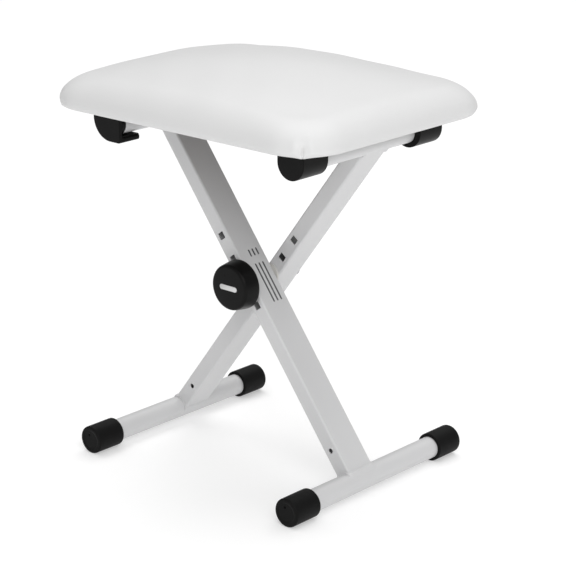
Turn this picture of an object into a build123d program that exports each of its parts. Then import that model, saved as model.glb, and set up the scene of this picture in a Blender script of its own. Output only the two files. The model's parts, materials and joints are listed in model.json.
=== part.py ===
from build123d import *
import os
from math import asin, cos, degrees, sin, sqrt

# Folding X-frame piano bench.  Millimetres, +Z up.  The origin is on the floor under the
# middle of the bench.  X runs along the long side of the seat, the way the legs open,
# and Y runs along the foot tubes.  The front leg stands on the -Y side.

# ---- driving dimensions: frame ----
foot_spacing = 309.0        # foot tube axis to foot tube axis, at the height that is set
leg_below_pivot = 255.5     # pivot bolt to foot tube axis, along a leg
leg_width = 40.0            # leg tube section, along Y
leg_depth = 20.0            # leg tube section, across the leg in the XZ plane
leg_wall = 1.2
leg_corner = 2.5
leg_gap = 2.0               # space between the two legs, filled by the spacer washer
tube_diameter = 25.4        # foot tubes and top tubes
tube_wall = 1.2
foot_tube_length = 282.0
hole_pitch = 30.0           # height-setting holes, along each leg
holes_above_pivot = 2
holes_below_pivot = 1
vent_diameter = 6.0         # drain hole in the narrow face of each leg
vent_from_foot = 42.0       # drain hole to foot tube axis, along the leg
weld_leg = 2.4              # size of the fillet welds
weld_clearance = 0.1        # weld to the middle plane between the legs

# ---- feet and tube ends ----
cap_wall = 3.8              # rubber over the foot tube
cap_length = 39.0
cap_floor = 3.0             # rubber over the tube's end
cap_round = 2.0
cap_dimple_diameter = 3.2
cap_dimple_across = 2.0     # dimple to the tube's axis, across and up
cap_dimple_up = 6.0
plug_head = 6.0
plug_spigot = 14.0
plug_clearance = 0.1
end_chamfer = 0.8           # plugs and the bolt's tip

# ---- pivot bolt and knob ----
bolt_diameter = 8.0
bolt_neck_over = 0.2        # square neck, wider than the thread by this
bolt_neck_length = 5.0
bolt_head_diameter = 20.0
bolt_head_height = 4.4
neck_clearance = 0.2        # square holes in the legs, wider than the neck by this
spacer_diameter = 26.0
spacer_clearance = 0.05
washer_diameter = 24.0
washer_thickness = 1.6
bolt_clearance = 0.1        # radial, in the washers and the knob's insert
knob_diameter = 57.5
knob_front_diameter = 53.5
knob_length = 21.0          # rim to front face
knob_round = 4.0
knob_recess_diameter = 40.0
knob_recess_depth = 5.0
knob_hub_wall = 5.0         # plastic round the insert
knob_hub_length = 4.8       # hub beyond the rim, towards the washer
knob_gap = 0.1              # knob hub to washer
insert_wall = 3.0           # brass round the bolt
insert_length = 14.0
insert_set_in = 5.0         # hub's end to the insert
bolt_into_insert = 12.0
insert_spare_depth = 1.0    # hole in the insert past the bolt's tip
badge_length = 26.0
badge_width = 6.0
badge_depth = 0.6

# ---- seat ----
seat_length = 401.0         # foam, along X
seat_width = 313.0          # foam, along Y
seat_corner = 55.0
seat_shift = 4.0            # middle of the seat is off the pivot by this, towards the hooks
board_thickness = 12.0
foam_wrap = 3.0             # foam round the edge of the board
foam_height = 45.0          # above the board, at the middle of the seat
crown_rise = 24.6           # top of the foam at its middle, above its rim at the corners
foam_edge_round = 14.0
cover_thickness = 1.2
hem_width = 22.0            # cover turned under the board
staple_spacing = 34.0
staple_inset = 9.0          # from the edge of the foam
staple_crown = 10.0
staple_wire = 0.9
staple_leg = 6.0

# ---- tube clips under the seat: hooks on the left, hinge barrels on the right ----
tube_below_board = 20.75    # top tube axis to the underside of the board
barrel_radius = 18.5        # round body of a barrel
barrel_out = 2.75           # middle of the round body, outside and above the tube's axis
barrel_up = 1.2
barrel_length = 39.0        # along Y
hook_radius = 26.2          # round outer side of a hook
hook_out = 3.3              # middle of that round, outside and above the tube's axis
hook_up = 5.7
hook_length = 30.5
hook_open_edge = 12.8       # tube's axis to the open side of the end wall and the lip
hook_lip_round = 3.0
clip_end_wall = 4.0
clip_clearance = 0.4        # tube to clip, radial
clip_end_clearance = 0.5    # tube end plug to clip end wall
clip_plate = 4.0            # plate that is screwed to the board
clip_flange = 11.0          # plate beyond the clip's body, away from the middle of the seat
clip_edge_round = 1.2
clip_from_end = 31.0        # hook plate to the end of the seat, along X
clip_from_side = 40.0       # clip end wall to the side of the seat, along Y
screw_diameter = 4.0
screw_head_diameter = 8.0
screw_length = 13.0
screw_from_body = 6.0       # screw axis to the clip's body
screw_inset = 9.0           # screw axis from each end of the clip

# ---- worked out from the driving dimensions ----
tube_radius = tube_diameter / 2
cap_radius = tube_radius + cap_wall
foot_x = foot_spacing / 2
foot_z = cap_radius
lean = asin(foot_x / leg_below_pivot)                   # leg angle from upright
pivot_z = foot_z + leg_below_pivot * cos(lean)
neck_side = bolt_diameter + bolt_neck_over
hole_side = neck_side + neck_clearance
insert_radius = bolt_diameter / 2 + insert_wall
bore_radius = tube_radius + clip_clearance
barrel_reach = barrel_out + barrel_radius               # tube axis to the outside of a clip
hook_reach = hook_out + hook_radius
top_x = seat_length / 2 + seat_shift - clip_from_end - clip_flange - hook_reach
leg_above_pivot = top_x / sin(lean)                     # pivot bolt to top tube axis
top_z = pivot_z + leg_above_pivot * cos(lean)
leg_y = (leg_gap + leg_width) / 2                       # centre of each leg, from Y = 0
leg_face = leg_gap / 2 + leg_width                      # outer face of each leg
seat_x = -seat_shift
clip_end_y = seat_width / 2 - clip_from_side
top_end = clip_end_y - clip_end_wall - clip_end_clearance     # end of each top tube plug
top_tube_length = 2 * (top_end - plug_head)
board_z = top_z + tube_below_board                      # underside of the board
foam_z = board_z + board_thickness
staple_z = board_z - cover_thickness

os.makedirs("parts", exist_ok=True)


def save(piece, label):
    """Write one named piece."""
    piece.label = label
    export_step(piece, f"parts/{label}.step")


def leg_plane(side, along=0.0):
    """Plane across a leg: its Z runs up the leg, its X along Y.  side -1 is the front leg,
    whose top is at -X; side +1 is the rear leg.  along is measured up from the pivot."""
    up = Vector(side * sin(lean), 0, cos(lean))
    start = Vector(0, side * leg_y, pivot_z) + up * along
    return Plane(origin=start, x_dir=(0, 1, 0), z_dir=up)


def leg_hole_plane(side, along):
    """Plane at a point of a leg's axis whose Z runs along +Y and whose Y runs up the leg."""
    up = Vector(side * sin(lean), 0, cos(lean))
    start = Vector(0, side * leg_y, pivot_z) + up * along
    return Plane(origin=start, x_dir=up.cross(Vector(0, 1, 0)), z_dir=(0, 1, 0))


def cross_plane(x, y, z):
    """Plane across a tube that runs along Y: its X is +X and its Y is +Z."""
    return Plane(origin=(x, y, z), x_dir=(1, 0, 0), z_dir=(0, -1, 0))


def bar(x, z, radius, length, y=0.0):
    """Solid bar along Y, centred on y, used to cut and to trim."""
    return extrude(cross_plane(x, y, z) * Circle(radius), length / 2, both=True)


# ---- leg tubes ----
def make_leg(side, label):
    """Rectangular tube, coped to sit on the foot tube and under the top tube."""
    foot_bar = bar(-side * foot_x, foot_z, tube_radius, foot_tube_length)
    top_bar = bar(side * top_x, top_z, tube_radius, foot_tube_length)
    with BuildPart() as leg:
        with BuildSketch(leg_plane(side, -leg_below_pivot)):
            RectangleRounded(leg_width, leg_depth, leg_corner)
            RectangleRounded(leg_width - 2 * leg_wall, leg_depth - 2 * leg_wall,
                             leg_corner - leg_wall, mode=Mode.SUBTRACT)
        extrude(amount=leg_below_pivot + leg_above_pivot)
        add(foot_bar, mode=Mode.SUBTRACT)
        add(top_bar, mode=Mode.SUBTRACT)
        for step in range(-holes_below_pivot, holes_above_pivot + 1):
            with BuildSketch(leg_hole_plane(side, step * hole_pitch)):
                Rectangle(hole_side, hole_side)
            extrude(amount=leg_width, both=True, mode=Mode.SUBTRACT)
        with BuildSketch(leg_hole_plane(side, vent_from_foot - leg_below_pivot)):
            Circle(vent_diameter / 2)
        extrude(amount=-leg_width, mode=Mode.SUBTRACT)
    save(leg.part, label)


make_leg(-1, "front_leg_tube")
make_leg(1, "rear_leg_tube")


# ---- foot tubes and top tubes ----
def make_tube(x, z, length, label):
    """Round tube along Y."""
    with BuildPart() as tube:
        with BuildSketch(cross_plane(x, length / 2, z)):
            Circle(tube_radius)
            Circle(tube_radius - tube_wall, mode=Mode.SUBTRACT)
        extrude(amount=length)
    save(tube.part, label)


make_tube(foot_x, foot_z, foot_tube_length, "front_foot_tube")
make_tube(-foot_x, foot_z, foot_tube_length, "rear_foot_tube")
make_tube(-top_x, top_z, top_tube_length, "front_top_tube")
make_tube(top_x, top_z, top_tube_length, "rear_top_tube")


# ---- fillet welds round the ends of each leg ----
def make_weld(side, x, z, along, label):
    """Collar of weld where a leg meets a round tube."""
    ring_radius = tube_radius + weld_leg
    collar = bar(x, z, ring_radius, leg_width + 2 * weld_leg, side * leg_y)
    tube_space = bar(x, z, tube_radius, foot_tube_length)
    with BuildPart() as weld:
        with BuildSketch(leg_plane(side, along)):
            RectangleRounded(leg_width + 2 * weld_leg, leg_depth + 2 * weld_leg, leg_corner + weld_leg)
            RectangleRounded(leg_width, leg_depth, leg_corner, mode=Mode.SUBTRACT)
        extrude(amount=ring_radius * (1 if along < 0 else -1))
        add(collar, mode=Mode.INTERSECT)
        add(tube_space, mode=Mode.SUBTRACT)
        split(bisect_by=Plane.XZ.offset(-side * weld_clearance), keep=Keep.TOP if side < 0 else Keep.BOTTOM)
    save(weld.part, label)


make_weld(-1, foot_x, foot_z, -leg_below_pivot, "front_foot_weld")
make_weld(1, -foot_x, foot_z, -leg_below_pivot, "rear_foot_weld")
make_weld(-1, -top_x, top_z, leg_above_pivot, "front_top_weld")
make_weld(1, top_x, top_z, leg_above_pivot, "rear_top_weld")


# ---- rubber foot caps ----
def make_cap(x, end, label):
    """Round rubber boot pushed over one end of a foot tube.  end is -1 or +1 along Y."""
    outer_y = end * (foot_tube_length / 2 + cap_floor)
    with BuildPart() as cap:
        with BuildSketch(cross_plane(x, outer_y, foot_z)):
            Circle(cap_radius)
        extrude(amount=end * cap_length)
        fillet(cap.edges().filter_by(GeomType.CIRCLE), cap_round)
        with BuildSketch(cross_plane(x, outer_y - end * cap_floor, foot_z)):
            Circle(tube_radius)
        extrude(amount=end * cap_length, mode=Mode.SUBTRACT)
        with BuildSketch(cross_plane(x, outer_y, foot_z)):
            with Locations((-cap_dimple_across, cap_dimple_up)):
                Circle(cap_dimple_diameter / 2)
        extrude(amount=end * cap_floor / 2, mode=Mode.SUBTRACT)
    save(cap.part, label)


make_cap(foot_x, -1, "foot_cap_right_front")
make_cap(foot_x, 1, "foot_cap_right_rear")
make_cap(-foot_x, -1, "foot_cap_left_front")
make_cap(-foot_x, 1, "foot_cap_left_rear")


# ---- plugs in the ends of the top tubes ----
def make_plug(x, end, label):
    """Plastic plug: a head as wide as the tube and a spigot inside it."""
    with BuildPart() as plug:
        with BuildSketch(cross_plane(x, end * top_end, top_z)):
            Circle(tube_radius)
        extrude(amount=end * plug_head)
        chamfer(plug.faces().sort_by(Axis.Y)[-1 if end > 0 else 0].edges(), end_chamfer)
        with BuildSketch(cross_plane(x, end * top_tube_length / 2, top_z)):
            Circle(tube_radius - tube_wall - plug_clearance)
        extrude(amount=end * plug_spigot)
    save(plug.part, label)


make_plug(-top_x, -1, "top_plug_left_front")
make_plug(-top_x, 1, "top_plug_left_rear")
make_plug(top_x, -1, "top_plug_right_front")
make_plug(top_x, 1, "top_plug_right_rear")

# ---- pivot bolt: domed head and square neck in the rear leg, thread in the knob ----
hub_end_y = -(leg_face + washer_thickness + knob_gap)
knob_back_y = hub_end_y - knob_hub_length
knob_front_y = knob_back_y - knob_length
insert_back_y = hub_end_y - insert_set_in
bolt_tip_y = insert_back_y - bolt_into_insert
dome_radius = (bolt_head_diameter**2 / 4 + bolt_head_height**2) / (2 * bolt_head_height)

with BuildPart() as bolt:
    with BuildSketch(cross_plane(0, leg_face, pivot_z)):
        Circle(bolt_diameter / 2)
    extrude(amount=leg_face - bolt_tip_y)
    chamfer(bolt.faces().sort_by(Axis.Y)[0].edges(), end_chamfer)
    with BuildSketch(leg_hole_plane(1, 0)):
        Rectangle(neck_side, neck_side)
    extrude(amount=leg_face - leg_y)
    # the neck is cut back to its length by a ring round the thread
    with BuildSketch(cross_plane(0, leg_gap / 2, pivot_z)):
        Circle(leg_width)
        Circle(bolt_diameter / 2, mode=Mode.SUBTRACT)
    extrude(amount=-(leg_width - bolt_neck_length), mode=Mode.SUBTRACT)
    # the head is a low dome turned about the bolt's axis
    with BuildSketch(Plane(origin=(0, leg_face, pivot_z), x_dir=(1, 0, 0), z_dir=(0, 0, 1))):
        with BuildLine():
            foot = (bolt_head_diameter / 2, 0)
            crest = (0, bolt_head_height)
            Line((0, 0), foot)
            RadiusArc(foot, crest, -dome_radius)
            Line(crest, (0, 0))
        make_face()
    revolve(axis=Axis((0, 0, pivot_z), (0, 1, 0)))
save(bolt.part, "pivot_bolt")


def make_washer(y_start, diameter, thickness, label):
    """Flat washer on the pivot bolt, from y_start towards -Y."""
    with BuildPart() as washer:
        with BuildSketch(cross_plane(0, y_start, pivot_z)):
            Circle(diameter / 2)
            Circle(bolt_diameter / 2 + bolt_clearance, mode=Mode.SUBTRACT)
        extrude(amount=thickness)
    save(washer.part, label)


make_washer(leg_gap / 2, spacer_diameter, leg_gap - spacer_clearance, "leg_spacer")
make_washer(-leg_face, washer_diameter, washer_thickness, "knob_washer")

# ---- clamp knob ----
with BuildPart() as knob:
    with BuildSketch(cross_plane(0, knob_back_y, pivot_z)):
        Circle(knob_diameter / 2)
    with BuildSketch(cross_plane(0, knob_front_y, pivot_z)):
        Circle(knob_front_diameter / 2)
    loft()
    fillet(knob.faces().sort_by(Axis.Y)[0].edges(), knob_round)
    with BuildSketch(cross_plane(0, knob_back_y, pivot_z)):
        Circle(knob_recess_diameter / 2)
        Circle(insert_radius + knob_hub_wall, mode=Mode.SUBTRACT)
    extrude(amount=knob_recess_depth, mode=Mode.SUBTRACT)
    with BuildSketch(cross_plane(0, hub_end_y, pivot_z)):
        Circle(insert_radius + knob_hub_wall)
    extrude(amount=knob_hub_length)
    with BuildSketch(cross_plane(0, hub_end_y, pivot_z)):
        Circle(insert_radius)
    extrude(amount=insert_set_in + insert_length, mode=Mode.SUBTRACT)
    with BuildSketch(cross_plane(0, knob_front_y + badge_depth, pivot_z)):
        SlotOverall(badge_length, badge_width)
    extrude(amount=badge_depth, mode=Mode.SUBTRACT)
save(knob.part, "knob_body")

with BuildPart() as insert:
    with BuildSketch(cross_plane(0, insert_back_y, pivot_z)):
        Circle(insert_radius)
    extrude(amount=insert_length)
    with BuildSketch(cross_plane(0, insert_back_y, pivot_z)):
        Circle(bolt_diameter / 2 + bolt_clearance)
    extrude(amount=bolt_into_insert + insert_spare_depth, mode=Mode.SUBTRACT)
save(insert.part, "knob_insert")

with BuildPart() as badge:
    with BuildSketch(cross_plane(0, knob_front_y + badge_depth, pivot_z)):
        SlotOverall(badge_length, badge_width)
    extrude(amount=badge_depth)
save(badge.part, "knob_badge")


# ---- seat: board, foam and cover ----
def corner_reach(grow):
    """From the middle of the seat to its outline at a corner, in plan."""
    return sqrt((seat_length / 2 - seat_corner)**2 + (seat_width / 2 - seat_corner)**2) + seat_corner + grow


def cushion(grow, bottom):
    """Rounded block whose top is part of a large ball.  grow is added all round, bottom is
    its underside."""
    top = foam_z + foam_height + grow
    ball = (corner_reach(0)**2 + crown_rise**2) / (2 * crown_rise) + grow
    edge_round = min(foam_edge_round, 0.9 * (foam_height - crown_rise)) + grow
    with BuildPart() as block:
        with BuildSketch(Plane((seat_x, 0, bottom))):
            RectangleRounded(seat_length + 2 * grow, seat_width + 2 * grow, seat_corner + grow)
        extrude(amount=top + crown_rise - bottom)
        with Locations((seat_x, 0, top - ball)):
            Sphere(ball, mode=Mode.INTERSECT)
        fillet(block.faces().sort_by(Axis.Z)[-1].edges(), edge_round)
    return block.part


def screw_spots(x_side, y_side):
    """The two screw places of one clip, in plan.  x_side -1 is a hook, +1 a barrel."""
    reach, length = (hook_reach, hook_length) if x_side < 0 else (barrel_reach, barrel_length)
    return [(x_side * (top_x + reach + screw_from_body), y_side * (clip_end_y - from_end))
            for from_end in (screw_inset, length - screw_inset)]


corner_sides = [(-1, -1), (-1, 1), (1, -1), (1, 1)]
all_screws = [spot for x_side, y_side in corner_sides for spot in screw_spots(x_side, y_side)]

board_length = seat_length - 2 * foam_wrap
board_width = seat_width - 2 * foam_wrap
with BuildPart() as board:
    with BuildSketch(Plane((seat_x, 0, board_z))):
        RectangleRounded(board_length, board_width, seat_corner - foam_wrap)
    extrude(amount=board_thickness)
    with BuildSketch(Plane.XY.offset(board_z)):
        with Locations(*all_screws):
            Circle(screw_diameter / 2)
    extrude(amount=screw_length - clip_plate, mode=Mode.SUBTRACT)
save(board.part, "seat_board")

filling = cushion(0, board_z)
with BuildPart() as foam:
    add(filling)
    with BuildSketch(Plane((seat_x, 0, board_z))):
        RectangleRounded(board_length, board_width, seat_corner - foam_wrap)
    extrude(amount=board_thickness, mode=Mode.SUBTRACT)
save(foam.part, "seat_foam")

outer_skin = cushion(cover_thickness, staple_z)
with BuildPart() as cover:
    add(outer_skin)
    add(filling, mode=Mode.SUBTRACT)
    with BuildSketch(Plane((seat_x, 0, staple_z))):
        RectangleRounded(seat_length - 2 * hem_width, seat_width - 2 * hem_width, seat_corner - hem_width)
    extrude(amount=cover_thickness, mode=Mode.SUBTRACT)
save(cover.part, "seat_cover")

# ---- staples that hold the hem of the cover to the board ----
line_x = seat_length / 2 - staple_inset
line_y = seat_width / 2 - staple_inset
count_x = int((seat_length - 2 * seat_corner) // staple_spacing) + 1
count_y = int((seat_width - 2 * seat_corner) // staple_spacing) + 1
staple_rows = [(line_y, count_x, 0), (-line_y, count_x, 0), (line_x, count_y, 90), (-line_x, count_y, 90)]

with BuildPart() as staples:
    for row_offset, count, turn in staple_rows:
        with Locations(Location((seat_x, 0, staple_z), (0, 0, turn))):
            with GridLocations(staple_spacing, 1, count, 1):
                with Locations((0, row_offset, -staple_wire / 2)):
                    Box(staple_crown, staple_wire, staple_wire)
                for end in (-1, 1):
                    with Locations((end * (staple_crown - staple_wire) / 2, row_offset, 0)):
                        Box(staple_wire, staple_wire, staple_leg,
                            align=(Align.CENTER, Align.CENTER, Align.MIN))
save(staples.part, "cover_staples")


# ---- clips that hold the top tubes ----
def clip_section(y_side, x_side):
    """Plane across a clip at its outer end."""
    return cross_plane(x_side * top_x, y_side * clip_end_y, top_z)


def finish_clip(clip, x_side, y_side, reach, label):
    """Adds the screwed plate and its countersunk holes to a clip, and writes it."""
    length = hook_length if x_side < 0 else barrel_length
    spots = screw_spots(x_side, y_side)
    with BuildPart() as whole:
        add(clip)
        with BuildSketch(Plane.XY.offset(board_z - clip_plate)):
            with Locations((x_side * (top_x + reach + clip_flange / 2), y_side * (clip_end_y - length / 2))):
                Rectangle(clip_flange + 2 * clip_edge_round, length)
        extrude(amount=clip_plate)
        with BuildSketch(Plane.XY.offset(board_z - clip_plate)):
            with Locations(*spots):
                Circle(screw_diameter / 2)
        extrude(amount=clip_plate, mode=Mode.SUBTRACT)
        with Locations(*[(x, y, board_z - clip_plate) for x, y in spots]):
            Cone(screw_head_diameter / 2, screw_diameter / 2, clip_plate / 2,
                 align=(Align.CENTER, Align.CENTER, Align.MIN), mode=Mode.SUBTRACT)
    save(whole.part, label)


def make_barrel(y_side, label):
    """Hinge barrel on the right: a round body filled out square up to the board, bored for the
    tube and closed at its outer end."""
    section = clip_section(y_side, 1)
    with BuildPart() as barrel:
        with BuildSketch(section):
            with Locations((barrel_out, barrel_up)):
                Circle(barrel_radius)
            with Locations((barrel_out, (tube_below_board + barrel_up) / 2)):
                Rectangle(2 * barrel_radius, tube_below_board - barrel_up)
        extrude(amount=y_side * barrel_length)
        outer_end = barrel.faces().sort_by(Axis.Y)[-1 if y_side > 0 else 0]
        rim = [edge for edge in outer_end.edges() if edge.center().Z < board_z - clip_edge_round]
        fillet(rim, clip_edge_round)
        with BuildSketch(section.offset(y_side * clip_end_wall)):
            Circle(bore_radius)
        extrude(amount=y_side * barrel_length, mode=Mode.SUBTRACT)
    finish_clip(barrel.part, 1, y_side, barrel_reach, label)


def make_hook(y_side, label):
    """Hook on the left: round outside and below, flat on its open side.  The tube lies in a
    square channel over a level lip and can slide out towards the middle of the seat."""
    section = clip_section(y_side, -1)
    with BuildPart() as hook:
        with BuildSketch(section):
            with BuildLine():
                low = hook_up - hook_radius
                Polyline((-hook_out, low), (hook_open_edge, low), (hook_open_edge, tube_below_board),
                         (-hook_reach, tube_below_board), (-hook_reach, hook_up))
                RadiusArc((-hook_reach, hook_up), (-hook_out, low), -hook_radius)
            make_face()
        extrude(amount=y_side * hook_length)
        lower = hook.edges().filter_by(Axis.Y).sort_by(Axis.Z)[:2].sort_by(Axis.X)[-1]
        fillet(lower, hook_lip_round)
        outer_end = hook.faces().sort_by(Axis.Y)[-1 if y_side > 0 else 0]
        rim = [edge for edge in outer_end.edges() if edge.center().Z < board_z - clip_edge_round]
        fillet(rim, clip_edge_round)
        with BuildSketch(section.offset(y_side * clip_end_wall)):
            with Locations((hook_radius - bore_radius, 0)):
                Rectangle(2 * hook_radius, 2 * bore_radius)
        extrude(amount=y_side * hook_length, mode=Mode.SUBTRACT)
        tip = [edge for edge in hook.edges().filter_by(Axis.Y)
               if abs(edge.center().X + top_x - hook_open_edge) < clip_clearance
               and abs(edge.center().Z - top_z + bore_radius) < clip_clearance]
        fillet(tip, hook_lip_round)
    finish_clip(hook.part, -1, y_side, hook_reach, label)


make_hook(-1, "tube_hook_left_front")
make_hook(1, "tube_hook_left_rear")
make_barrel(-1, "hinge_barrel_right_front")
make_barrel(1, "hinge_barrel_right_rear")

with BuildPart() as screws:
    with Locations(*[(x, y, board_z - clip_plate) for x, y in all_screws]):
        Cone(screw_head_diameter / 2, screw_diameter / 2, clip_plate / 2,
             align=(Align.CENTER, Align.CENTER, Align.MIN))
        Cylinder(screw_diameter / 2, screw_length, align=(Align.CENTER, Align.CENTER, Align.MIN))
save(screws.part, "clip_screws")

print(f"lean {degrees(lean):.2f}, pivot {pivot_z:.2f}, top tube {top_x:.2f} {top_z:.2f}, board {board_z:.2f}")
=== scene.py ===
"""Looks of a folding X-frame piano bench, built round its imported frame.

Metres, +Z up, in the frame's own coordinates.  The front leg stands on the -Y side.
"""

import json

import bpy
import numpy as np
from bpy.props import FloatProperty, FloatVectorProperty, IntProperty, PointerProperty
from bpy.types import Operator, Panel, PropertyGroup
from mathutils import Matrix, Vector


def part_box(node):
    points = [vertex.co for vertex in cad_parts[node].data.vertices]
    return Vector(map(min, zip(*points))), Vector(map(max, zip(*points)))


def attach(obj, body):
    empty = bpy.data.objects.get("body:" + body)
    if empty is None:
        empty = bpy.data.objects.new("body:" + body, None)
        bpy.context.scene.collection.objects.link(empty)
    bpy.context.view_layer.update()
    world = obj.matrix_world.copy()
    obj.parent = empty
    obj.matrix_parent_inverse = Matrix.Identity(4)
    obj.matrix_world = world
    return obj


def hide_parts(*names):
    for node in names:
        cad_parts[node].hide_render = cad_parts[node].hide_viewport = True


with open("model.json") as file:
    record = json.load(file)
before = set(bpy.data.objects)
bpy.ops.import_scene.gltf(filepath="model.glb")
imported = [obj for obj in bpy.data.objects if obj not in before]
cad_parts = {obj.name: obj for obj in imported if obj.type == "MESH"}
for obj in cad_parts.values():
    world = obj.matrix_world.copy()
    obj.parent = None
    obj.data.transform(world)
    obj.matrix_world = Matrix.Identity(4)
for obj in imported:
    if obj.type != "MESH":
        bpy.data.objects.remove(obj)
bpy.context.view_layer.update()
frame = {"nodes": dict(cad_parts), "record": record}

bl_info = {
    "name": "Folding Piano Bench",
    "version": (1, 0, 0),
    "blender": (4, 5, 0),
    "location": "3D View > Sidebar > Bench",
    "description": "Builds the cushion, feet, knob, clips and finishes of a folding piano bench",
    "category": "Object",
}

MM = 0.001
TAU = 2 * np.pi


# ---- places read from the frame ----
def middle(node):
    """Middle of a CAD node's box."""
    low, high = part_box(node)
    return (low + high) / 2


ENDS = ("left_front", "left_rear", "right_front", "right_rear")
FOOT_CAPS = tuple(f"foot_cap_{end}" for end in ENDS)
TOP_PLUGS = tuple(f"top_plug_{end}" for end in ENDS)
CLIPS = tuple(f"tube_hook_{end}" for end in ENDS[:2]) + tuple(f"hinge_barrel_{end}" for end in ENDS[2:])
LEG_TUBES = ("front_leg_tube", "rear_leg_tube")
ROUND_TUBES = ("front_foot_tube", "rear_foot_tube", "front_top_tube", "rear_top_tube")
WELDS = ("front_foot_weld", "rear_foot_weld", "front_top_weld", "rear_top_weld")
BODY_OF = {node: name for name, nodes in frame["record"]["behaviour"]["bodies"].items()
           for node in nodes}
PIVOT = middle("knob_body")
LEG_TOP = middle("front_top_tube")
BOARD_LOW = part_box("seat_board")[0]


# ---- properties: sizes and colours that a user would change ----
class CushionSettings(PropertyGroup):
    """Sizes of the padded seat."""

    side_height: FloatProperty(
        name="Side height", description="Upright part of the side, above the board's underside",
        default=6.5 * MM, unit="LENGTH")
    roll_height: FloatProperty(
        name="Roll height", description="Height of the rounded edge above the upright part",
        default=23.0 * MM, unit="LENGTH")
    roll_width: FloatProperty(
        name="Roll width", description="How far in from the side the rounded edge reaches",
        default=31.3 * MM, unit="LENGTH")
    crown: FloatProperty(
        name="Crown", description="Rise of the middle of the seat above its rounded edge",
        default=30.0 * MM, unit="LENGTH")
    corner: FloatProperty(
        name="Corner", description="Plan radius of the corners", default=55.0 * MM, unit="LENGTH")
    pleat_shift: FloatProperty(
        name="Pleat shift", description="Corner pleat to the middle of the corner",
        default=4.6 * MM, unit="LENGTH")
    tuck: FloatProperty(
        name="Tuck", description="How far the side draws in towards the board's underside",
        default=3.1 * MM, unit="LENGTH")
    pull_in: FloatProperty(
        name="Pull in", description="How far the sides draw in between the corners",
        default=0.8 * MM, unit="LENGTH")
    hem: FloatProperty(
        name="Hem", description="Width of the cover turned under the board",
        default=20.0 * MM, unit="LENGTH")
    colour: FloatVectorProperty(
        name="Vinyl", description="Colour of the cover", subtype="COLOR", size=3,
        default=(0.66, 0.66, 0.66), min=0.0, max=1.0)


class FrameSettings(PropertyGroup):
    """Finish of the tubes and the metal parts."""

    paint: FloatVectorProperty(
        name="Powder coat", description="Colour of the painted tubes", subtype="COLOR", size=3,
        default=(0.60, 0.60, 0.605), min=0.0, max=1.0)
    zinc: FloatVectorProperty(
        name="Zinc", description="Colour of the bolt, screws and washers", subtype="COLOR", size=3,
        default=(0.62, 0.63, 0.66), min=0.0, max=1.0)
    print_colour: FloatVectorProperty(
        name="Print", description="Colour of the stripes on the front leg", subtype="COLOR", size=3,
        default=(0.07, 0.07, 0.075), min=0.0, max=1.0)


class PlasticSettings(PropertyGroup):
    """Sizes and colours of the moulded black parts."""

    black: FloatVectorProperty(
        name="Black", description="Colour of the moulded parts", subtype="COLOR", size=3,
        default=(0.006, 0.006, 0.006), min=0.0, max=1.0)
    cap_round: FloatProperty(
        name="Cap edge", description="Edge radius of the foot caps", default=2.4 * MM, unit="LENGTH")
    knob_round: FloatProperty(
        name="Knob edge", description="Edge radius of the knob's front", default=4.0 * MM, unit="LENGTH")
    segments: IntProperty(
        name="Segments", description="Points round each turned part", default=128, min=24, max=256)


class StageSettings(PropertyGroup):
    """Camera and light."""

    camera_place: FloatVectorProperty(
        name="Camera", description="Where the camera stands", subtype="TRANSLATION", size=3,
        default=(1.4886, -1.6253, 0.9240))
    camera_aim: FloatVectorProperty(
        name="Aim", description="Direction in which the camera looks", subtype="DIRECTION", size=3,
        default=(-0.63527, 0.70701, -0.31077))
    lens: FloatProperty(name="Lens", description="Focal length in millimetres", default=126.2)
    overhead: FloatProperty(name="Overhead", description="Strength of the soft sky light", default=1.8)
    front: FloatProperty(name="Front", description="Watts of the soft light in front", default=54.0)
    fill: FloatProperty(name="Fill", description="Strength of the even light all round", default=0.38)


# ---- surfaces ----
def signed_volume(points, faces):
    """Six times the volume inside the faces; it is positive where they point outwards."""
    total = 0.0
    for corner in range(1, faces.shape[1] - 1):
        a, b, c = points[faces[:, 0]], points[faces[:, corner]], points[faces[:, corner + 1]]
        total += float(np.einsum("ij,ij->", a, np.cross(b, c)))
    return total


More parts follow.
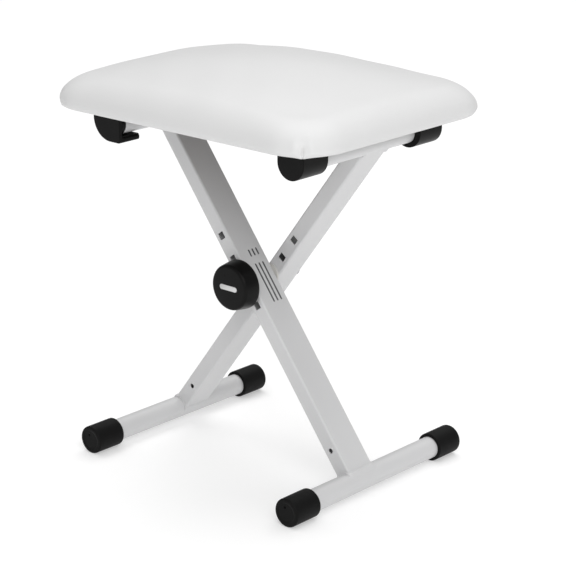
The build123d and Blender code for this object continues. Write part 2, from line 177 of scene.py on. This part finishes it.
def lofted(name, rings, ends=(None, None), closed=False):
    """A closed surface through rings of points.

    rings is an array (ring, point round the ring, 3).  Each ring is joined to the next with
    four-sided faces.  An end is either a pole point, to which the end ring is closed by a fan, or
    None where closed joins the last ring back to the first.  The faces are turned outwards by
    the sign of the enclosed volume.  The UV map runs round the rings and along them."""
    rings = np.asarray(rings, float)
    count, around, _ = rings.shape
    points = [rings.reshape(-1, 3)]
    here = np.arange(count - (0 if closed else 1))[:, None] * around
    there = (np.arange(count - (0 if closed else 1))[:, None] + 1) % count * around
    step = np.arange(around)[None, :]
    following = (step + 1) % around
    quads = np.stack([here + step, here + following, there + following, there + step], -1)
    quads = quads.reshape(-1, 4)
    fans = []
    pole = count * around
    for end, base in zip(ends, (0, (count - 1) * around)):
        if end is None:
            continue
        points.append(np.asarray(end, float).reshape(1, 3))
        ring = base + step.ravel()
        after = base + following.ravel()
        spike = np.full(around, pole)
        fans.append(np.stack([after, ring, spike] if base == 0 else [ring, after, spike], -1))
        pole += 1
    points = np.concatenate(points)
    fans = np.concatenate(fans) if fans else np.zeros((0, 3), int)
    volume = signed_volume(points, quads) + (signed_volume(points, fans) if len(fans) else 0.0)
    if volume < 0:
        quads, fans = quads[:, ::-1], fans[:, ::-1]
    mesh = bpy.data.meshes.new(name)
    mesh.vertices.add(len(points))
    mesh.vertices.foreach_set("co", points.ravel())
    corners = np.concatenate([quads.ravel(), fans.ravel()])
    starts = np.concatenate([np.arange(len(quads)) * 4, len(quads) * 4 + np.arange(len(fans)) * 3])
    mesh.loops.add(len(corners))
    mesh.loops.foreach_set("vertex_index", corners)
    mesh.polygons.add(len(starts))
    mesh.polygons.foreach_set("loop_start", starts)
    mesh.update(calc_edges=True)
    mesh.polygons.foreach_set("use_smooth", np.ones(len(starts), bool))
    at_poles = np.zeros(len(points) - count * around)
    u = np.append(np.tile(np.arange(around) / around, count), at_poles)
    v = np.append(np.repeat(np.arange(count) / count, around), at_poles)
    layer = mesh.uv_layers.new(name="UVMap")
    layer.uv.foreach_set("vector", np.stack([u[corners], v[corners]], -1).ravel())
    mesh.validate()
    piece = bpy.data.objects.new(name, mesh)
    bpy.context.scene.collection.objects.link(piece)
    return piece


def turned(name, profile, centre, segments):
    """A turned part: profile is rows of (radius, place along Y), carried round the Y axis through
    centre.  Rows of radius 0 at either end become poles."""
    profile = np.asarray(profile, float)
    angle = np.linspace(0, TAU, segments, endpoint=False)
    ends = [None, None]
    body = profile
    for index, row in ((0, profile[0]), (1, profile[-1])):
        if row[0] < 1e-9:
            ends[index] = (centre[0], row[1], centre[2])
            body = body[1:] if index == 0 else body[:-1]
    radius, along = body[:, :1], body[:, 1:]
    rings = np.stack([
        centre[0] + radius * np.cos(angle),
        along + 0 * angle,
        centre[2] + radius * np.sin(angle)], -1)
    return lofted(name, rings, ends, closed=ends[0] is None)


def arc(centre, radius, start, stop, steps):
    """Points of a circular arc in a profile plane, from start to stop in degrees."""
    angle = np.radians(np.linspace(start, stop, steps))
    return np.stack([centre[0] + radius * np.cos(angle), centre[1] + radius * np.sin(angle)], -1)


def smooth_step(value, low, high):
    """0 below low, 1 above high, and a smooth rise between them."""
    share = np.clip((value - low) / (high - low), 0, 1)
    return share * share * (3 - 2 * share)


# ---- materials ----
class Nodes:
    """A node material: add nodes by type, link them by name, set constant sockets directly."""

    def __init__(self, name, colour, roughness, **constants):
        self.material = bpy.data.materials.new(name)
        self.material.use_nodes = True
        self.tree = self.material.node_tree
        self.shader = self.tree.nodes["Principled BSDF"]
        self.shader.inputs["Base Color"].default_value = (*colour, 1)
        self.shader.inputs["Roughness"].default_value = roughness
        for socket, value in constants.items():
            self.shader.inputs[socket.replace("_", " ")].default_value = value
        self.coordinates = self.tree.nodes.new("ShaderNodeTexCoord").outputs["Object"]

    def add(self, kind, inputs=None, **settings):
        node = self.tree.nodes.new("ShaderNode" + kind)
        for key, value in settings.items():
            setattr(node, key, value)
        for key, value in (inputs or {}).items():
            if isinstance(value, bpy.types.NodeSocket):
                self.tree.links.new(value, node.inputs[key])
            else:
                node.inputs[key].default_value = value
        return node

    def noise(self, scale, detail=2.0, roughness=0.5, vector=None):
        """Noise with a feature size of about 1 / scale metres."""
        made = self.add("TexNoise", {"Vector": vector or self.coordinates, "Scale": scale,
                                     "Detail": detail, "Roughness": roughness})
        return made.outputs["Fac"]

    def cells(self, scale, feature="DISTANCE_TO_EDGE", vector=None):
        """Distance to the edge of cells about 1 / scale metres wide."""
        made = self.add("TexVoronoi", {"Vector": vector or self.coordinates, "Scale": scale},
                        feature=feature)
        return made.outputs["Distance"]

    def ranged(self, value, low, high, to_low, to_high):
        """value moved from the range low..high to the range to_low..to_high."""
        made = self.add("MapRange", {"Value": value, "From Min": low, "From Max": high,
                                     "To Min": to_low, "To Max": to_high})
        return made.outputs["Result"]

    def mixed(self, factor, dark, light):
        """Colour from dark to light by factor."""
        made = self.add("Mix", {"Factor": factor}, data_type="RGBA")
        made.inputs[6].default_value = (*dark, 1)
        made.inputs[7].default_value = (*light, 1)
        return made.outputs[2]

    def colour_by(self, factor, dark, light):
        self.tree.links.new(self.mixed(factor, dark, light), self.shader.inputs["Base Color"])

    def roughness_by(self, factor, low, high):
        self.tree.links.new(self.ranged(factor, 0, 1, low, high), self.shader.inputs["Roughness"])

    def bumped(self, layers):
        """Bump from rows of (height socket, strength, distance in metres), one on another."""
        normal = None
        for height, strength, distance in layers:
            inputs = {"Height": height, "Strength": strength, "Distance": distance}
            if normal is not None:
                inputs["Normal"] = normal
            normal = self.add("Bump", inputs).outputs["Normal"]
        self.tree.links.new(normal, self.shader.inputs["Normal"])
        return self


def scaled(colour, by):
    """A colour made lighter or darker."""
    return tuple(min(1.0, channel * by) for channel in colour)


def vinyl_finish(settings):
    """Soft upholstery vinyl: fine pebbled grain, faint mottling, a soft even gloss."""
    made = Nodes("seat_vinyl", settings.colour, 0.5, Specular_IOR_Level=0.42)
    mottle = made.noise(14.0, 3.0)
    made.colour_by(mottle, scaled(settings.colour, 0.985), scaled(settings.colour, 1.012))
    made.roughness_by(made.noise(60.0, 2.0), 0.44, 0.56)
    pebble = made.ranged(made.cells(620.0), 0.0, 0.35, 0.0, 1.0)
    made.bumped([(made.noise(35.0, 2.0), 0.25, 0.0006), (pebble, 0.22, 0.00022),
                 (made.noise(1900.0, 2.0), 0.12, 0.0001)])
    return made.material


def paint_finish(settings):
    """Powder coat on steel tube: even satin paint with a fine orange peel."""
    made = Nodes("powder_coat", settings.paint, 0.42, Specular_IOR_Level=0.5)
    made.colour_by(made.noise(22.0, 3.0), scaled(settings.paint, 0.975), scaled(settings.paint, 1.02))
    made.roughness_by(made.noise(90.0, 2.0), 0.36, 0.48)
    made.bumped([(made.noise(420.0, 1.0), 0.16, 0.0003), (made.noise(1500.0, 2.0), 0.07, 0.0001)])
    return made.material


def plastic_finish(name, colour, roughness, grain, strength):
    """Moulded plastic: spark-eroded grain with slightly uneven gloss and faint scuffs."""
    made = Nodes(name, colour, roughness, Specular_IOR_Level=0.08)
    made.colour_by(made.noise(30.0, 3.0), scaled(colour, 0.8), scaled(colour, 1.3))
    made.roughness_by(made.noise(70.0, 3.0), roughness - 0.07, roughness + 0.08)
    made.bumped([(made.noise(grain, 3.0, 0.6), strength, 0.00025),
                 (made.noise(160.0, 2.0), 0.08, 0.0004)])
    return made.material


def zinc_finish(settings):
    """Zinc plate: bright grey metal with fine spangle and dull patches."""
    made = Nodes("zinc_plate", settings.zinc, 0.34, Metallic=1.0)
    made.colour_by(made.noise(240.0, 3.0), scaled(settings.zinc, 0.8), scaled(settings.zinc, 1.1))
    made.roughness_by(made.noise(400.0, 2.0), 0.26, 0.42)
    made.bumped([(made.cells(900.0), 0.08, 0.0001)])
    return made.material


def brass_finish():
    """Turned brass: fine rings about the insert's axis."""
    colour = (0.62, 0.44, 0.17)
    made = Nodes("turned_brass", colour, 0.3, Metallic=1.0)
    made.colour_by(made.noise(300.0, 2.0), scaled(colour, 0.82), scaled(colour, 1.08))
    made.bumped([(made.noise(900.0, 2.0), 0.15, 0.0001)])
    return made.material


def plywood_finish():
    """Dark stained plywood: long grain along X, darker early wood, open pores."""
    made = Nodes("plywood", (0.075, 0.062, 0.052), 0.62, Specular_IOR_Level=0.3)
    stretch = made.add("Mapping", {"Vector": made.coordinates, "Scale": (3.0, 60.0, 60.0)})
    grain = made.noise(1.6, 6.0, 0.62, vector=stretch.outputs["Vector"])
    made.colour_by(made.ranged(grain, 0.3, 0.7, 0.0, 1.0),
                   (0.045, 0.036, 0.030), (0.12, 0.10, 0.085))
    pores = made.noise(14.0, 3.0, 0.7, vector=stretch.outputs["Vector"])
    made.bumped([(grain, 0.3, 0.0006), (pores, 0.35, 0.0003)])
    return made.material


def foam_finish():
    """Open-cell foam, seen only if the cover is taken off."""
    made = Nodes("seat_foam", (0.78, 0.74, 0.60), 0.9)
    made.colour_by(made.noise(60.0, 3.0), (0.72, 0.68, 0.54), (0.82, 0.78, 0.65))
    made.bumped([(made.cells(900.0), 0.6, 0.0006)])
    return made.material


def print_finish(settings):
    """Screen print: flat ink with slightly uneven cover."""
    made = Nodes("leg_print", settings.print_colour, 0.5)
    made.colour_by(made.noise(500.0, 3.0), scaled(settings.print_colour, 0.85),
                   scaled(settings.print_colour, 1.3))
    made.bumped([(made.noise(1400.0, 2.0), 0.1, 0.00008)])
    return made.material


def floor_finish():
    """Pale studio floor, faintly lit from below."""
    made = Nodes("floor", (0.66, 0.66, 0.66), 0.95, Specular_IOR_Level=0.05,
                 Emission_Color=(1, 1, 1, 1), Emission_Strength=0.38)
    made.bumped([(made.noise(80.0, 2.0), 0.02, 0.0002)])
    return made.material


def give(piece, material):
    """One material in every slot of a piece."""
    if not piece.material_slots:
        piece.data.materials.append(material)
    for entry in piece.material_slots:
        entry.material = material


def finished(piece, body, material, slot, *replaced):
    """Rides a new piece on its body, gives its finish and hides the CAD parts it stands in for."""
    give(piece, material)
    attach(piece, body)
    if replaced:
        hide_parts(*replaced)
    return piece


def slot_outline(length, width):
    """Points round a slot with round ends, its length along the first direction."""
    turn = np.linspace(-np.pi / 2, np.pi / 2, 12)
    end = np.stack([np.cos(turn), np.sin(turn)], -1) * width / 2 + [(length - width) / 2, 0]
    return np.concatenate([end, -end])


def plate(name, outline, base, first, second, out, thickness, sunk, under=None):
    """A thin plate with a softened rim.  outline lies in the plane of first and second through
    base; the plate stands thickness above that along out and goes sunk below it.  under gives
    the height of a domed surface beneath it by the distance from base."""
    base, first, second, out = (np.array(v, float) for v in (base, first, second, out))
    lift = under or (lambda r: 0 * r)
    rings, poles = [], []
    for inset, height in ((0, -sunk), (0, 0.6 * thickness), (0.4 * thickness, thickness)):
        flat = outline * (1 - inset / outline.max(0))
        rise = height + lift(np.hypot(flat[:, 0], flat[:, 1]))
        rings.append(base + flat[:, :1] * first + flat[:, 1:] * second + rise[:, None] * out)
        poles.append(base + (height + lift(0.0)) * out)
    return lofted(name, rings, (poles[0], poles[-1]))


# ---- cushion ----
def corner_places(half_x, half_y, corner, per_side):
    """Places round a rounded rectangle, as numbers from 0 to 8: each even whole number begins a
    quarter circle and each odd one a straight run, and the share between them is how far along.

    The places run from the middle of one corner to the middle of the next, and are packed close
    at the corners: at a share u of the way the distance is u - 0.8 sin(2 pi u) / (2 pi)."""
    u = np.arange(per_side) / per_side
    u = u - 0.8 * np.sin(TAU * u) / TAU
    half_bend = np.pi / 4 * corner
    places = []
    for index in range(4):
        run = 2 * (half_x - corner) if index % 2 == 0 else 2 * (half_y - corner)
        where = u * (run + 2 * half_bend)
        first = 2 * index + 0.5 + 0.5 * np.clip(where / half_bend, 0, 1)
        middle_run = np.clip((where - half_bend) / run, 0, 1)
        last = 0.5 * np.clip((where - half_bend - run) / half_bend, 0, 1)
        places.append(first + middle_run + last)
    return np.concatenate(places) % 8


def outline(places, half_x, half_y, corner):
    """Points and outward normals of a rounded rectangle at the given places."""
    index = np.floor(places / 2).astype(int)
    on_run = (places - 2 * index) >= 1
    share = places - np.floor(places)
    sign_x = np.array([1, -1, -1, 1])
    sign_y = np.array([1, 1, -1, -1])

    def centre(which):
        which = which % 4
        return np.stack([sign_x[which] * (half_x - corner), sign_y[which] * (half_y - corner)], -1)

    turn = (index + np.where(on_run, 1, share)) * np.pi / 2
    normals = np.stack([np.cos(turn), np.sin(turn)], -1)
    along = np.where(on_run, share, 0)[:, None]
    points = centre(index) * (1 - along) + centre(index + 1) * along + corner * normals
    return points, normals


def cushion_rings(s, per_side=190):
    """Rings of the seat cover, from the middle of its top, over the rounded edge, down the side
    and under the board.

    With d the distance in from the side, the height is: an upright side; a quarter ellipse of
    width roll_width and height roll_height; and a crown that is highest in the middle and falls
    to nothing at the sides, crown * (1 - |x|^1.95) * (1 - |y|^1.95) with x and y as shares of the
    half sizes.  The side draws in by pull_in in the middle of each edge and by tuck at its foot.
    Each corner has a folded pleat at its foot: a groove exp(-(a / 1.1 mm)^2), a being the distance
    along the side from a place pleat_shift off the middle of the corner, towards the long side,
    beside a soft ridge, both fading out upwards, and puckers -exp(-(a / 14 mm)^2) cos(a / 3.4 mm)
    above them.  The hem hangs lower under the pleat."""
    low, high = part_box("seat_cover")
    half_x, half_y = (high.x - low.x) / 2, (high.y - low.y) / 2
    centre, foot = (low.x + high.x) / 2, low.z
    places = corner_places(half_x, half_y, s.corner, per_side)
    _, facing = outline(places, half_x, half_y, s.corner)
    turn = np.arctan2(np.abs(facing[:, 1]), np.abs(facing[:, 0])) - np.pi / 4
    beside = s.corner * turn - s.pleat_shift
    groove = np.exp(-(beside / (1.1 * MM))**2)
    ridge = np.exp(-((beside - 2.6 * MM) / (2.2 * MM))**2)
    pucker = -np.exp(-(beside / (14 * MM))**2) * np.cos(beside / (3.4 * MM))
    top = foot + s.side_height + s.roll_height
    ridge_height, groove_depth, pucker_height, hem_drop = 0.6 * MM, 1.5 * MM, 1.2 * MM, 1.7 * MM
    bend = 0.8 * MM
    rings = []

    def ring(inset, height, crown=1.0, scale=1.0):
        shrink = max(s.corner - 0.6 * inset, 6 * MM)
        plan, normal = outline(places, half_x - inset, half_y - inset, shrink)
        plan = plan * scale
        share_x, share_y = np.abs(plan[:, 0]) / half_x, np.abs(plan[:, 1]) / half_y
        fade = np.clip(1 - inset / (1.6 * s.roll_width), 0, 1) * (scale == 1.0)
        waist = s.pull_in * (np.clip(1 - share_x**2, 0, 1) * normal[:, 1]**4
                             + np.clip(1 - share_y**2, 0, 1) * normal[:, 0]**4)
        level = height - foot
        pleat = 1 - smooth_step(level, 7 * MM, 13 * MM) if inset < s.roll_width else 0.0
        puff = (1 - smooth_step(level, 9 * MM, 26 * MM)) * smooth_step(level, 1 * MM, 6 * MM)
        fold = (ridge_height * ridge - groove_depth * groove) * pleat * (level > 0)
        push = (fold + pucker_height * pucker * puff) * (inset < s.roll_width)
        plan = plan - normal * (waist * fade)[:, None] + normal * push[:, None]
        rise = s.crown * np.clip(1 - share_x**1.95, 0, 1) * np.clip(1 - share_y**1.95, 0, 1) * crown
        x, y = plan[:, 0], plan[:, 1]
        slack = 0.35 * MM * (np.sin(31 * x + 17 * y + 0.6) + np.sin(47 * y - 23 * x + 2.1)
                             + 0.6 * np.sin(83 * x + 61 * y)) * crown
        sag = -hem_drop * np.exp(-(np.abs(beside) / (9 * MM))**1.3)
        sag = sag * (1 - smooth_step(level, 0, 9 * MM))
        plan = plan + [centre, 0]
        return np.column_stack([plan, height + rise + slack + sag * (inset < s.roll_width)])

    inner = 1.9 * s.roll_width
    for share in np.linspace(0.03, 1, 44)[:-1]:
        rings.append(ring(inner, top, scale=share))
    for inset in np.linspace(inner, s.roll_width, 18)[:-1]:
        rings.append(ring(inset, top))
    for share in np.linspace(1, 0, 40)[:-1]:
        lift = np.sqrt(1 - (1 - share**1.6)**2)
        rings.append(ring(s.roll_width * share**1.6, foot + s.side_height + s.roll_height * lift,
                          smooth_step(share, 0.0, 0.25)))
    for share in np.linspace(1, 0.12, 9):
        rings.append(ring(s.tuck * (1 - share)**2, foot + s.side_height * share, 0))
    for angle in np.radians((20, 45, 70, 90)):
        inset, height = s.tuck + bend * (1 - np.cos(angle)), foot + bend * (1 - np.sin(angle))
        rings.append(ring(inset, height, 0))
    for share in np.linspace(0.1, 1, 7):
        rings.append(ring(s.tuck + bend + (s.hem - s.tuck) * share, foot, 0))
    inside = BOARD_LOW.z + 3 * MM
    rings.append(ring(s.hem + 1.0 * MM, foot + 0.3 * MM, 0))
    rings.append(ring(s.hem + 1.1 * MM, inside, 0))
    rings.append(ring(s.hem + 10 * MM, inside, 0))
    return np.array(rings), (centre, 0, top + s.crown), (centre, 0, inside)


class BENCH_OT_cushion(Operator):
    """Builds the padded seat cover"""

    bl_idname = "bench.cushion"
    bl_label = "Cushion"

    def execute(self, context):
        settings = context.scene.bench_cushion
        rings, top_pole, low_pole = cushion_rings(settings)
        cushion = lofted("seat_cushion", rings, (top_pole, low_pole))
        finished(cushion, "seat", vinyl_finish(settings), "seat_vinyl", "seat_cover", "seat_foam")
        return {"FINISHED"}


# ---- feet ----
def dimple(piece, spot, face, outward, radius=1.5 * MM, depth=2.2 * MM):
    """Pushes a small round hole into a flat end face: depth * (1 - smooth step of the distance
    from the spot, over its radius)."""
    count = len(piece.data.vertices)
    points = np.zeros(count * 3)
    piece.data.vertices.foreach_get("co", points)
    points = points.reshape(-1, 3)
    away = np.hypot(points[:, 0] - spot.x, points[:, 2] - spot.z)
    near = np.abs(points[:, 1] - face) < 1.2 * MM
    points[:, 1] -= outward * depth * near * (1 - smooth_step(away, 0.55 * radius, 1.15 * radius))
    piece.data.vertices.foreach_set("co", points.ravel())
    piece.data.update()


class BENCH_OT_foot_caps(Operator):
    """Builds the four moulded rubber foot caps"""

    bl_idname = "bench.foot_caps"
    bl_label = "Foot caps"

    def execute(self, context):
        settings = context.scene.bench_plastic
        rubber = plastic_finish("cap_rubber", settings.black, 0.52, 1300.0, 0.3)
        for node in FOOT_CAPS:
            low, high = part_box(node)
            centre = (low + high) / 2
            radius = (high.x - low.x) / 2
            outward = 1 if centre.y > 0 else -1
            outer, inner = (high.y, low.y) if outward > 0 else (low.y, high.y)
            length = abs(outer - inner)
            edge = settings.cap_round
            lip = 1.2 * MM
            tube = radius - 3.9 * MM
            dish = 0.5 * MM
            profile = [(r, length - dish) for r in np.linspace(0, 11 * MM, 33)]
            profile += [(11.5 * MM, length - 0.3 * MM), (12.1 * MM, length - 0.05 * MM),
                        (12.6 * MM, length)]
            profile += list(arc((radius - edge, length - edge), edge, 90, 0, 9))
            profile += [(radius, length * share) for share in (0.75, 0.5, 0.25)] + [(radius, lip * 2)]
            profile += list(arc((radius - lip, lip), lip, 0, -90, 6))
            profile += [(tube + 0.4 * MM, 0.0), (tube, 0.4 * MM), (tube, 3 * MM), (tube, length * 0.5),
                        (0.0, length * 0.5)]
            profile = np.array(profile)
            profile[:, 1] = inner + outward * profile[:, 1]
            cap = turned(node.replace("foot_cap", "rubber_foot"), profile, centre, settings.segments)
            dimple(cap, centre + Vector((-2.0 * MM, 0, 6.0 * MM)), outer, outward)
            finished(cap, BODY_OF[node], rubber, "cap_rubber", node)
        return {"FINISHED"}


# ---- knob ----
class BENCH_OT_knob(Operator):
    """Builds the clamp knob"""

    bl_idname = "bench.knob"
    bl_label = "Clamp knob"

    def execute(self, context):
        settings = context.scene.bench_plastic
        low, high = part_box("knob_body")
        radius = (high.x - low.x) / 2
        edge, dome, bevel = settings.knob_round, 0.6 * MM, 0.4 * MM
        hub, hub_radius, recess = 4.8 * MM, 12 * MM, 5 * MM
        bore_radius, bore_end = 7.02 * MM, 14.2 * MM
        rim = high.y - hub
        depth = rim - low.y
        face = radius - 2.0 * MM - edge
        reach = np.linspace(0.08, 1, 14) * face
        profile = [(0.0, depth + dome)]
        profile += [(r, depth + dome * (1 - (r / face)**2)) for r in reach]
        profile += list(arc((face, depth - edge), edge, 90, 5, 10))[1:]
        profile += [(radius - 0.8 * MM, depth * 0.42), (radius - 0.2 * MM, depth * 0.2),
                    (radius, 1.4 * MM), (radius - 0.3 * MM, 0.5 * MM), (radius - 1.0 * MM, 0.0),
                    (radius - 3.0 * MM, 0.0), (radius - 3.4 * MM, 0.6 * MM),
                    (radius - 4.2 * MM, recess), (hub_radius, recess), (hub_radius, bevel - hub),
                    (hub_radius - bevel, -hub), (7.4 * MM, -hub), (bore_radius, bevel - hub),
                    (bore_radius, bore_end), (0.0, bore_end)]
        profile = np.array(profile)
        profile[:, 1] = rim - profile[:, 1]
        knob = turned("clamp_knob", profile, PIVOT, settings.segments)
        black = plastic_finish("knob_plastic", settings.black, 0.3, 1100.0, 0.12)
        finished(knob, "knob", black, "knob_plastic", "knob_body")
        band = plate("knob_band", slot_outline(26 * MM, 6 * MM), (PIVOT.x, low.y, PIVOT.z),
                     (1, 0, 0), (0, 0, 1), (0, -1, 0), 0.35 * MM, 0.3 * MM,
                     lambda r: dome * (1 - (r / face)**2))
        pale = plastic_finish("badge_plastic", (0.6, 0.6, 0.6), 0.3, 900.0, 0.08)
        finished(band, "knob", pale, "badge_plastic", "knob_badge")
        return {"FINISHED"}


class BENCH_OT_stripes(Operator):
    """Prints two groups of plain stripes on the wide face of the front leg"""

    bl_idname = "bench.stripes"
    bl_label = "Leg stripes"

    def execute(self, context):
        ink = print_finish(context.scene.bench_frame)
        low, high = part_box("front_leg_tube")
        up = LEG_TOP - PIVOT
        up = Vector((up.x, 0, up.z)).normalized()
        out = Vector((up.z, 0, -up.x))
        half_depth, first_row, pitch, width = 10 * MM, 18 * MM, 6 * MM, 2.2 * MM
        for group, (start, stop) in enumerate(((24 * MM, 33 * MM), (-34 * MM, 15 * MM))):
            for row in range(3):
                centre = PIVOT + up * ((start + stop) / 2) + out * half_depth
                centre.y = low.y + first_row + pitch * row
                stripe = plate(f"leg_stripe_{group + 1}_{row + 1}", slot_outline(stop - start, width),
                               centre, up, (0, 1, 0), out, 0.08 * MM, 0.02 * MM)
                finished(stripe, "front_leg", ink, "plug_plastic")
        return {"FINISHED"}


class BENCH_OT_carried_over(Operator):
    """Gives the CAD parts that show their finishes"""

    bl_idname = "bench.carried_over"
    bl_label = "Frame finishes"

    def execute(self, context):
        metal = context.scene.bench_frame
        moulded = context.scene.bench_plastic
        paint, zinc = paint_finish(metal), zinc_finish(metal)
        black = plastic_finish("clip_plastic", moulded.black, 0.36, 900.0, 0.15)
        wanted = {name: paint for name in LEG_TUBES + ROUND_TUBES + WELDS}
        wanted.update({name: black for name in CLIPS + TOP_PLUGS})
        plated = ("pivot_bolt", "knob_washer", "clip_screws", "cover_staples")
        wanted.update({name: zinc for name in plated})
        wanted["leg_spacer"] = plastic_finish("spacer_nylon", (0.62, 0.61, 0.58), 0.45, 700.0, 0.1)
        wanted["knob_insert"] = brass_finish()
        wanted["seat_board"] = plywood_finish()
        wanted["seat_foam"] = foam_finish()
        for node, material in wanted.items():
            give(frame["nodes"][node], material)
        return {"FINISHED"}


# ---- stage ----
def soft_light(kind, name, place, power, size):
    """A soft light at place that faces the middle of the bench.  size is metres for an area light
    and the sky's angle in degrees for a sun."""
    light = bpy.data.lights.new(name, kind)
    light.energy = power
    if kind == "SUN":
        light.angle = np.radians(size)
    else:
        light.size = size
    holder = bpy.data.objects.new(name, light)
    holder.location = place
    aim = Vector((0, 0, 0.25)) - Vector(place)
    holder.rotation_euler = aim.to_track_quat("-Z", "Y").to_euler()
    bpy.context.scene.collection.objects.link(holder)


class BENCH_OT_stage(Operator):
    """Sets the camera, the floor and the lights"""

    bl_idname = "bench.stage"
    bl_label = "Stage"

    def execute(self, context):
        settings = context.scene.bench_stage
        camera = bpy.data.cameras.new("camera")
        camera.lens, camera.sensor_width = settings.lens, 36
        camera.clip_end = 50
        holder = bpy.data.objects.new("camera", camera)
        holder.location = settings.camera_place
        holder.rotation_euler = Vector(settings.camera_aim).to_track_quat("-Z", "Y").to_euler()
        context.scene.collection.objects.link(holder)
        context.scene.camera = holder
        angle = np.linspace(0, TAU, 64, endpoint=False)
        reach = np.array([0.5, 1.5, 4.0, 12.0])[:, None]
        rings = np.stack([reach * np.cos(angle), reach * np.sin(angle), 0 * reach + 0 * angle], -1)
        floor = lofted("floor", rings, ((0, 0, 0), None))
        if floor.data.polygons[0].normal.z < 0:
            floor.data.flip_normals()
        give(floor, floor_finish())
        soft_light("SUN", "overhead", (-0.5, 0.8, 3.0), settings.overhead, 60)
        soft_light("AREA", "front", (2.0, -1.7, 2.1), settings.front, 2.4)
        world = context.scene.world or bpy.data.worlds.new("studio")
        context.scene.world = world
        world.use_nodes = True
        background = world.node_tree.nodes["Background"]
        background.inputs["Color"].default_value = (1, 1, 1, 1)
        background.inputs["Strength"].default_value = settings.fill
        context.scene.view_settings.view_transform = "Standard"
        return {"FINISHED"}


STEPS = (BENCH_OT_stage, BENCH_OT_cushion, BENCH_OT_foot_caps, BENCH_OT_knob, BENCH_OT_stripes,
         BENCH_OT_carried_over)


class BENCH_PT_sidebar(Panel):
    """Lists the bench's sizes and its building steps"""

    bl_label = "Piano bench"
    bl_space_type = "VIEW_3D"
    bl_region_type = "UI"
    bl_category = "Bench"

    def draw(self, context):
        column = self.layout.column()
        for holder in SETTINGS:
            group = getattr(context.scene, holder)
            for name in group.__annotations__:
                column.prop(group, name)
        for step in STEPS:
            column.operator(step.bl_idname)


SETTINGS = {
    "bench_cushion": CushionSettings,
    "bench_frame": FrameSettings,
    "bench_plastic": PlasticSettings,
    "bench_stage": StageSettings,
}


def register():
    for group in SETTINGS.values():
        bpy.utils.register_class(group)
    for cls in (*STEPS, BENCH_PT_sidebar):
        bpy.utils.register_class(cls)
    for holder, group in SETTINGS.items():
        setattr(bpy.types.Scene, holder, PointerProperty(type=group))


def unregister():
    for holder in SETTINGS:
        delattr(bpy.types.Scene, holder)
    for cls in (BENCH_PT_sidebar, *reversed(STEPS)):
        bpy.utils.unregister_class(cls)
    for group in SETTINGS.values():
        bpy.utils.unregister_class(group)


def main():
    register()
    for step in STEPS:
        family, action = step.bl_idname.split(".")
        getattr(getattr(bpy.ops, family), action)()


if __name__ == "__main__":
    main()
